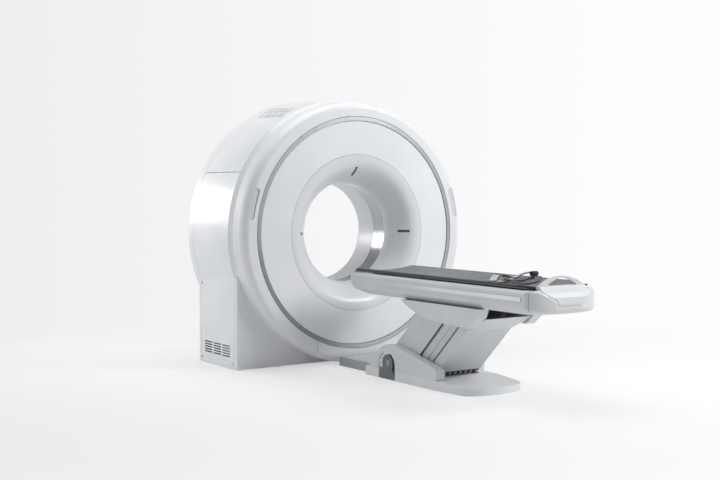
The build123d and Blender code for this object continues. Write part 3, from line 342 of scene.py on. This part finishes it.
NODE_FINISH = {
    "cover paint": ("front_cover", "lower_front_cover", "side_cover_left", "side_cover_right", "top_cover",
                    "rear_cover"),
    "disc plastic": ("front_disc",),
    "bore plastic": ("front_funnel", "rear_funnel", "bore_liner"),
    "table plastic": ("base_cover_left", "base_cover_right", "front_column_cover", "rear_column_cover",
                      "side_slat_a", "side_slat_b", "skirt", "passage_liner"),
    "bridge paint": ("floor_bridge",),
    "beam paint": ("beam",),
    "cap plastic": ("end_cap", "end_handle"),
    "base paint": ("table_base",),
    "arm paint": ("front_arms", "rear_arms", "power_unit", "hv_generator"),
    "frame paint": ("base_frame",),
    "pivot paint": ("pivot_blocks",),
    "panel plastic": ("control_panel_left", "control_panel_right"),
    "black plastic": ("foot_seal", "brush_block", "fan_left", "fan_right"),
    "slip board": ("slip_ring",),
    "dark glass": ("laser_windows",),
    "belt rubber": ("drive_belt",),
    "trim metal": ("trim_ring",),
    "rail metal": ("side_rails",),
    "screw metal": ("cover_screws", "levelling_feet"),
    "bearing steel": ("main_bearing_outer", "main_bearing_inner", "motor_pulley"),
    "cast metal": ("stator_ring", "drive_motor", "rotor_frame", "xray_tube", "detector_arc",
                   "lift_gearmotor"),
    "lead": ("collimator", "rotor_counterweight"),
    "punched sheet": ("exhaust_grilles",),
    "window film": ("scan_window",),
    "carbon fibre": ("cradle",),
}


def dress_nodes():
    """Give every carried-over node its finish."""
    for finish, names in NODE_FINISH.items():
        for name in names:
            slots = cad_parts[name].data.materials
            slots.clear()
            slots.append(finishes[finish])


def new_piece(name, mesh, finish, body, smooth=True):
    """A mesh piece with one finish that rides on a body."""
    piece = bpy.data.objects.new(name, mesh)
    bpy.context.collection.objects.link(piece)
    mesh.materials.append(finishes[finish])
    if smooth:
        mesh.shade_smooth()
    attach(piece, body)
    return piece


# Soft goods on the cradle

PAD_HALF = 0.232                  # half width of the mattress
PAD_EDGE_R = 0.007                # round of its edges
PAD_CORNER_R = 0.104              # round of its rear corners in plan
WELD_PITCH = 0.42                 # spacing of the welded channels across it
WELD_DEPTH, WELD_HALF = 0.0018, 0.006
PAD_INSET = 0.002                 # kept inside the mattress's length in CAD
PAD_NOSE = 0.010                  # it thins to a rounded end over this length
PAD_NOSE_T = 0.35                 # share of its thickness left at the very end
PAD_ROWS, PAD_COLUMNS = 260, 44
(pad_low, pad_high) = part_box("mattress")
PAD_FOOT, PAD_TOP = 0.6628, 0.6750   # middle of its underside and of its top
PAD_RISE_FOOT, PAD_RISE_TOP = 0.0207, 0.0232


def pad_top(x):
    """Height of the mattress's top at a place across it."""
    return PAD_TOP + PAD_RISE_TOP * (x / PAD_HALF) ** 2


def make_mattress():
    """Thin moulded pad: curved with the cradle, rounded edges, welded channels across it."""
    y0, y1 = pad_low[1] + PAD_INSET, pad_high[1] - PAD_INSET
    mesh = bpy.data.meshes.new("mattress_pad")
    made = bmesh.new()

    def section(y):
        """Places round the pad at one place along it."""
        along = min(y - y0, y1 - y)
        end = math.sqrt(max(0.0, 1 - (1 - min(1.0, along / PAD_NOSE)) ** 2))
        thinned = PAD_NOSE_T + (1 - PAD_NOSE_T) * end
        channel = math.exp(-(((y - y0) % WELD_PITCH - WELD_PITCH / 2) / WELD_HALF) ** 2)
        bend = max(0.0, PAD_CORNER_R - (y - y0))
        half_width = PAD_HALF - PAD_CORNER_R + math.sqrt(PAD_CORNER_R ** 2 - bend ** 2)
        points = []
        for side in (1, -1):
            for i in range(PAD_COLUMNS + 1):
                x = -math.cos(math.pi * i / PAD_COLUMNS) * side * half_width
                beyond = max(0.0, abs(x) - half_width + PAD_EDGE_R) / PAD_EDGE_R
                edge = math.sqrt(max(0.0, 1 - beyond ** 2))
                foot = PAD_FOOT + PAD_RISE_FOOT * (x / PAD_HALF) ** 2
                top = pad_top(x) - WELD_DEPTH * channel
                middle, half = (foot + top) / 2, (top - foot) / 2
                points.append((x, y, middle + side * half * edge * thinned))
        return points[:PAD_COLUMNS + 1] + points[PAD_COLUMNS + 2:-1]

    rings = []
    for j in range(PAD_ROWS + 1):
        y = y0 + (y1 - y0) * (1 - math.cos(math.pi * j / PAD_ROWS)) / 2
        rings.append([made.verts.new(p) for p in section(y)])
    wrap_rings(made, rings)
    finish_mesh(made, mesh)
    pad = new_piece("mattress_pad", mesh, "slate vinyl", "sliding_cradle")
    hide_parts("mattress")
    return pad


def between(p, q, r, s, t):
    """A share t of the way from q to r, on a smooth curve through all four."""
    slope, turn, swing = r - p, 2 * p - 5 * q + 4 * r - s, 3 * q - p - 3 * r + s
    return 0.5 * (2 * q + slope * t + turn * t * t + swing * t ** 3)


def smooth_path(points, steps=14):
    """Places along a smooth curve through the given points."""
    ends = [points[0]] + list(points) + [points[-1]]
    out = []
    for four in zip(ends, ends[1:], ends[2:], ends[3:]):
        for i in range(steps):
            out.append(tuple(between(*values, i / steps) for values in zip(*four)))
    return out + [tuple(points[-1])]


def wrap_rings(made, rings):
    """Faces between neighbouring rings of points, and one at each end."""
    count = len(rings[0])
    for a, b in zip(rings, rings[1:]):
        for i in range(count):
            made.faces.new((a[i], a[(i + 1) % count], b[(i + 1) % count], b[i]))
    made.faces.new(rings[0])
    made.faces.new(list(reversed(rings[-1])))


def finish_mesh(made, mesh):
    """Turn all faces outwards and write the work into the mesh."""
    bmesh.ops.recalc_face_normals(made, faces=made.faces)
    made.to_mesh(mesh)
    made.free()


# Half of a strap's width and thickness that each corner of its rounded section reaches
STRAP_SECTION = ((-1, 0), (-0.96, 0.5), (-0.90, 1), (-0.3, 1), (0.3, 1), (0.90, 1), (0.96, 0.5), (1, 0),
                 (0.96, -0.5), (0.90, -1), (0.3, -1), (-0.3, -1), (-0.90, -1), (-0.96, -0.5))


def ribbon(name, points, width, thick, finish, body):
    """A strap along a smooth path, flat side towards the mattress below it."""
    path = [Vector(p) for p in smooth_path(points)]
    mesh = bpy.data.meshes.new(name)
    made = bmesh.new()
    rings = []
    for i, here in enumerate(path):
        ahead, behind = path[min(i + 1, len(path) - 1)], path[max(i - 1, 0)]
        forward = (ahead - behind).normalized()
        side = forward.cross(Vector((0, 0, 1))).normalized()
        side = (side - forward * side.dot(forward)).normalized()
        up = side.cross(forward)
        outline = []
        for u, v in STRAP_SECTION:
            outline.append(made.verts.new(here + side * (u * width / 2) + up * (v * thick / 2)))
        rings.append(outline)
    wrap_rings(made, rings)
    finish_mesh(made, mesh)
    return new_piece(name, mesh, finish, body)


STRAP_W, STRAP_T = 0.056, 0.0045
TAIL_W, TAIL_T = 0.040, 0.009
CROSS_W = 0.036
LOOP_W, LOOP_T = 0.044, 0.006
BINDING_W, BINDING_T = 0.013, 0.0024
BINDING_RISE = 0.002              # the dark bindings lie this much over the pale straps
BINDING_SHIFTS = (0.030, 0.027)   # and this far behind their middles
LIFT_OFF = 0.0030                 # strap centre above the mattress


def over(x, y, extra=0.0):
    """A strap point on the mattress, or higher by an extra."""
    return (x, y, pad_top(x) + LIFT_OFF + extra)


# Straps as (x, distance in front of the gantry, height over the mattress)
CHEST = ((-0.229, 1.692, 0.001), (-0.19, 1.668, 0.005), (-0.12, 1.600, 0.022), (-0.04, 1.525, 0.035),
         (0.02, 1.470, 0.030), (0.09, 1.452, 0.012), (0.15, 1.468, 0.002))
LEG = ((-0.229, 1.778, 0.001), (-0.18, 1.715, 0.006), (-0.116, 1.615, 0.017), (-0.05, 1.565, 0.010),
       (0.03, 1.535, 0.003))
LIGHT_TAIL = ((0.03, 1.510, 0.007), (0.10, 1.480, 0.003), (0.145, 1.487, 0.009), (0.185, 1.515, 0.024),
              (0.222, 1.552, 0.026))
DARK_CROSS = ((-0.02, 1.480, 0.042), (0.03, 1.512, 0.032), (0.085, 1.545, 0.011), (0.09, 1.600, 0.004),
              (0.02, 1.650, 0.003), (-0.08, 1.672, 0.003), (-0.16, 1.650, 0.009))
DARK_LOOP = ((-0.17, 1.750, 0.002), (-0.05, 1.752, 0.003), (0.06, 1.722, 0.006), (0.15, 1.662, 0.004),
             (0.21, 1.600, 0.003), (0.16, 1.570, 0.006), (0.06, 1.610, 0.010), (-0.04, 1.632, 0.011))


def laid(places, shift=0.0, extra=0.0):
    """Strap places moved towards the rear end and raised."""
    return [over(x, FRONT_Y - v - shift, up + extra) for x, v, up in places]


def make_straps():
    """Restraint straps thrown loosely over the rear of the mattress, with a rolled end."""
    body = "sliding_cradle"
    first = ribbon("chest_strap", laid(CHEST), STRAP_W, STRAP_T, "pale webbing", body)
    pieces = [
        ribbon("leg_strap", laid(LEG), STRAP_W, STRAP_T, "pale webbing", body),
        ribbon("strap_light_tail", laid(LIGHT_TAIL), TAIL_W, TAIL_T, "pale webbing", body),
        ribbon("strap_dark_cross", laid(DARK_CROSS), CROSS_W, STRAP_T, "black webbing", body),
        ribbon("strap_dark_loop", laid(DARK_LOOP), LOOP_W, LOOP_T, "dark webbing", body),
        ribbon("strap_binding_a", laid(CHEST, BINDING_SHIFTS[0], BINDING_RISE), BINDING_W, BINDING_T,
               "black webbing", body),
        ribbon("strap_binding_b", laid(LEG, BINDING_SHIFTS[1], BINDING_RISE), BINDING_W, BINDING_T,
               "black webbing", body),
        make_roll(),
    ]
    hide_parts("straps")


ROLL_TURNS, ROLL_STEPS = 4.5, 28    # turns of the rolled end, and steps in each
ROLL_INNER, ROLL_GAP = 0.003, 0.0026
ROLL_HALF, ROLL_T = 0.022, 0.0022   # half its length, and the strap's thickness in it
ROLL_AT = (0.205, 1.575, 0.020)


def make_roll():
    """The rolled-up end of a strap: a flat spiral, lying across the mattress."""
    (centre,) = [Vector(place) for place in laid([ROLL_AT])]
    mesh = bpy.data.meshes.new("strap_roll")
    made = bmesh.new()
    steps = int(ROLL_TURNS * ROLL_STEPS)
    rings = []
    for i in range(steps + 1):
        angle = 2 * math.pi * ROLL_TURNS * i / steps
        inside = ROLL_INNER + ROLL_GAP * angle / (2 * math.pi)
        outside = inside + ROLL_T
        ring = []
        for x, r in ((-ROLL_HALF, inside), (ROLL_HALF, inside), (ROLL_HALF, outside), (-ROLL_HALF, outside)):
            ring.append(made.verts.new(centre + Vector((x, r * math.cos(angle), r * math.sin(angle)))))
        rings.append(ring)
    wrap_rings(made, rings)
    finish_mesh(made, mesh)
    return new_piece("strap_roll", mesh, "black webbing", "sliding_cradle", smooth=False)


# Black strips along the column covers' edges, painted shadow of the grooves there, and the foot seal's clips

ARM_ANGLE = math.radians(44)      # of the lift arms above level, at rest
PIVOT_Z = 0.105
FRONT_PIVOT, REAR_PIVOT = 0.690, 1.040   # distance of the lower pivots in front of the gantry
# Painted shadow strips as (place up the arm from and to), (place below it from and to), (x from and to)
FRONT_SHADOW_STRIP = ((0.125, 0.600), (0.124, 0.131), (0.1765, 0.1795))
REAR_SHADOW_STRIP = ((0.0, 0.570), (-0.011, -0.002), (0.1718, 0.1748))
CLIPS, CLIP_START, CLIP_PITCH, CLIP_W = 8, -0.146, 0.0417, 0.018
CLIP_UP, CLIP_BELOW = (0.006, 0.030), (0.0606, 0.0625)


def on_arm(pivot_v, s, p):
    """y and z of a place s up a lift arm and p below its middle line."""
    along, up = math.cos(ARM_ANGLE), math.sin(ARM_ANGLE)
    return FRONT_Y - pivot_v - s * along - p * up, PIVOT_Z + s * up - p * along


def arm_outline(pivot_v, up, below):
    """The four corners of a rectangle that lies along an arm."""
    (s0, s1), (p0, p1) = up, below
    return [on_arm(pivot_v, s, p) for s, p in ((s0, p0), (s1, p0), (s1, p1), (s0, p1))]


def solid_between(name, near, far, finish, body):
    """A solid with flat sides between two matching outlines."""
    mesh = bpy.data.meshes.new(name)
    count = len(near)
    faces = [list(range(count)), list(range(2 * count - 1, count - 1, -1))]
    faces += [[i, (i + 1) % count, count + (i + 1) % count, count + i] for i in range(count)]
    mesh.from_pydata(list(near) + list(far), [], faces)
    made = bmesh.new()
    made.from_mesh(mesh)
    finish_mesh(made, mesh)
    return new_piece(name, mesh, finish, body, smooth=False)


def shadow_strip(name, pivot_v, up, below, span, body):
    """A black strip along the edge of a column cover, the same on both sides: painted shadow of the groove at
    that edge.
    """
    outline = arm_outline(pivot_v, up, below)
    for side, word in ((-1, "left"), (1, "right")):
        near, far = [[(side * x, y, z) for y, z in outline] for x in span]
        solid_between(f"{name}_{word}", near, far, "black plastic", body)


def make_shadow_strips_and_clips():
    """Black strips that paint the shadow in the grooves where the covers' edges lie over the sliding slats,
    and the clips on the foot seal.
    """
    # Black strips in front of the cover edges: painted shadow of the grooves there
    shadow_strip("front_cover_shadow_strip", FRONT_PIVOT, *FRONT_SHADOW_STRIP, "front_linkage")
    shadow_strip("rear_cover_shadow_strip", REAR_PIVOT, *REAR_SHADOW_STRIP, "rear_linkage")
    outline = arm_outline(REAR_PIVOT, CLIP_UP, CLIP_BELOW)
    for i in range(CLIPS):
        x = CLIP_START + CLIP_PITCH * i
        near, far = [[(place, y, z) for y, z in outline] for place in (x, x + CLIP_W)]
        solid_between(f"seal_clip_{i + 1}", near, far, "pale webbing", "rear_linkage")


# Floor, light and camera

WORLD_FILL = 0.37                        # strength of the even light from all round
# Lamps: name, place, aim, width and height in metres, and watts
LAMPS = (
    ("top_box", (-0.6, 0.1, 4.6), (0, -0.6, 0.9), (3.0, 3.0), 88),
    ("side_box", (-5.0, 1.4, 2.0), (0, -0.2, 1.0), (2.5, 2.5), 24),
    ("front_right_box", (3.6, -4.4, 4.0), (0.4, -0.4, 1.4), (2.5, 2.5), 245),
    ("bore_box", (-2.3, 3.1, 1.7), (0.3, 0.3, 0.95), (1.2, 1.2), 58),
)
CAMERA_AT = (-4.540, -7.161, 1.2377)
CAMERA_TURN, CAMERA_DIP = 33.93, 2.633   # degrees right of +Y, and down
LENS, SENSOR = 58.2, 36.0
CLIP_END = 200.0                         # the camera sees this far
SKY_LEFT, SKY_RIGHT = 0.855, 0.985       # how bright the backdrop looks on each side
SKY_SPAN = (-0.30, 0.22)                 # where it changes, as a share of the way to the right
SKY_COLOUR = (1, 1, 1.004, 1)
FLOOR_REACH = 60.0                       # half size of the floor
FLOOR_SHADOW = 0.45                      # share of the floor's own shading that shows by the object
SHADOW_MIDDLE = (0.0, -1.0, 0.0)         # the shading fades out between two distances from here
SHADOW_NEAR, SHADOW_FAR = 1.5, 3.6


def sky_shade(tree, direction):
    """Backdrop brightness, a little darker on the left of the photo's view."""
    turn = math.radians(CAMERA_TURN)
    right = (math.cos(turn), -math.sin(turn), 0.0)
    unit = put(tree, "ShaderNodeVectorMath", {0: direction}, operation="NORMALIZE").outputs[0]
    side = put(tree, "ShaderNodeVectorMath", {0: unit, 1: right}, operation="DOT_PRODUCT").outputs["Value"]
    reach = ramp(tree, side, *SKY_SPAN)
    made = put(tree, "ShaderNodeMapRange", {"Value": reach, "To Min": SKY_LEFT, "To Max": SKY_RIGHT})
    return made.outputs["Result"]


def seen_directly(tree):
    """1 where the camera, a reflection or clear glass looks straight at the backdrop."""
    path = put(tree, "ShaderNodeLightPath").outputs
    seen = math_node(tree, "MAXIMUM", path["Is Camera Ray"], path["Is Transmission Ray"])
    return math_node(tree, "MAXIMUM", seen, path["Is Glossy Ray"])


def make_floor():
    """A pale studio floor that keeps a soft shadow under the object."""
    material, tree, shader = blank("studio floor")
    shader.inputs["Base Color"].default_value = (0.86, 0.86, 0.865, 1)
    shader.inputs["Roughness"].default_value = 0.9
    place = put(tree, "ShaderNodeNewGeometry").outputs["Position"]
    direction = put(tree, "ShaderNodeVectorMath", {0: place, 1: CAMERA_AT}, operation="SUBTRACT").outputs[0]
    glow = put(tree, "ShaderNodeEmission", {"Color": SKY_COLOUR, "Strength": sky_shade(tree, direction)})
    gap = put(tree, "ShaderNodeVectorMath", {0: place, 1: SHADOW_MIDDLE}, operation="DISTANCE")
    away = gap.outputs["Value"]
    shown = math_node(tree, "MULTIPLY", ramp(tree, away, SHADOW_FAR, SHADOW_NEAR), FLOOR_SHADOW)
    share = math_node(tree, "MULTIPLY", seen_directly(tree), math_node(tree, "SUBTRACT", 1.0, shown))
    mixed = put(tree, "ShaderNodeMixShader", {0: share, 1: shader.outputs[0], 2: glow.outputs[0]})
    tree.links.new(mixed.outputs[0], tree.nodes["Material Output"].inputs["Surface"])
    mesh = bpy.data.meshes.new("floor")
    r = FLOOR_REACH
    mesh.from_pydata([(-r, -r, 0), (r, -r, 0), (r, r, 0), (-r, r, 0)], [], [(0, 1, 2, 3)])
    mesh.materials.append(material)
    floor = bpy.data.objects.new("floor", mesh)
    bpy.context.collection.objects.link(floor)


def make_world():
    """Even fill from all round, with the pale backdrop where it is looked at."""
    world = bpy.data.worlds.new("studio")
    bpy.context.scene.world = world
    world.use_nodes = True
    tree = world.node_tree
    tree.nodes.clear()
    direction = put(tree, "ShaderNodeTexCoord").outputs["Generated"]
    fill = put(tree, "ShaderNodeBackground", {"Color": (0.97, 0.985, 1.0, 1), "Strength": WORLD_FILL})
    shade = sky_shade(tree, direction)
    shown = put(tree, "ShaderNodeBackground", {"Color": SKY_COLOUR, "Strength": shade})
    path = put(tree, "ShaderNodeLightPath").outputs
    seen = math_node(tree, "MAXIMUM", path["Is Camera Ray"], path["Is Transmission Ray"])
    mixed = put(tree, "ShaderNodeMixShader", {0: seen, 1: fill.outputs[0], 2: shown.outputs[0]})
    put(tree, "ShaderNodeOutputWorld", {"Surface": mixed.outputs[0]})


def soft_box(name, at, target, size, power):
    """A square studio lamp that points at a place."""
    lamp = bpy.data.lights.new(name, "AREA")
    lamp.shape = "RECTANGLE"
    lamp.size, lamp.size_y = size
    lamp.energy = power
    holder = bpy.data.objects.new(name, lamp)
    holder.location = at
    holder.rotation_euler = (Vector(target) - Vector(at)).to_track_quat("-Z", "Y").to_euler()
    bpy.context.collection.objects.link(holder)


def make_camera():
    """The photo's own view of the machine."""
    lens = bpy.data.cameras.new("photo_camera")
    lens.lens, lens.sensor_width = LENS, SENSOR
    lens.clip_end = CLIP_END
    camera = bpy.data.objects.new("photo_camera", lens)
    camera.location = CAMERA_AT
    camera.rotation_euler = (math.radians(90 - CAMERA_DIP), 0, math.radians(-CAMERA_TURN))
    bpy.context.collection.objects.link(camera)
    bpy.context.scene.camera = camera


dress_nodes()
make_mattress()
make_straps()
make_shadow_strips_and_clips()
make_floor()
make_world()
for lamp_values in LAMPS:
    soft_box(*lamp_values)
make_camera()
bpy.context.scene.view_settings.view_transform = "Standard"
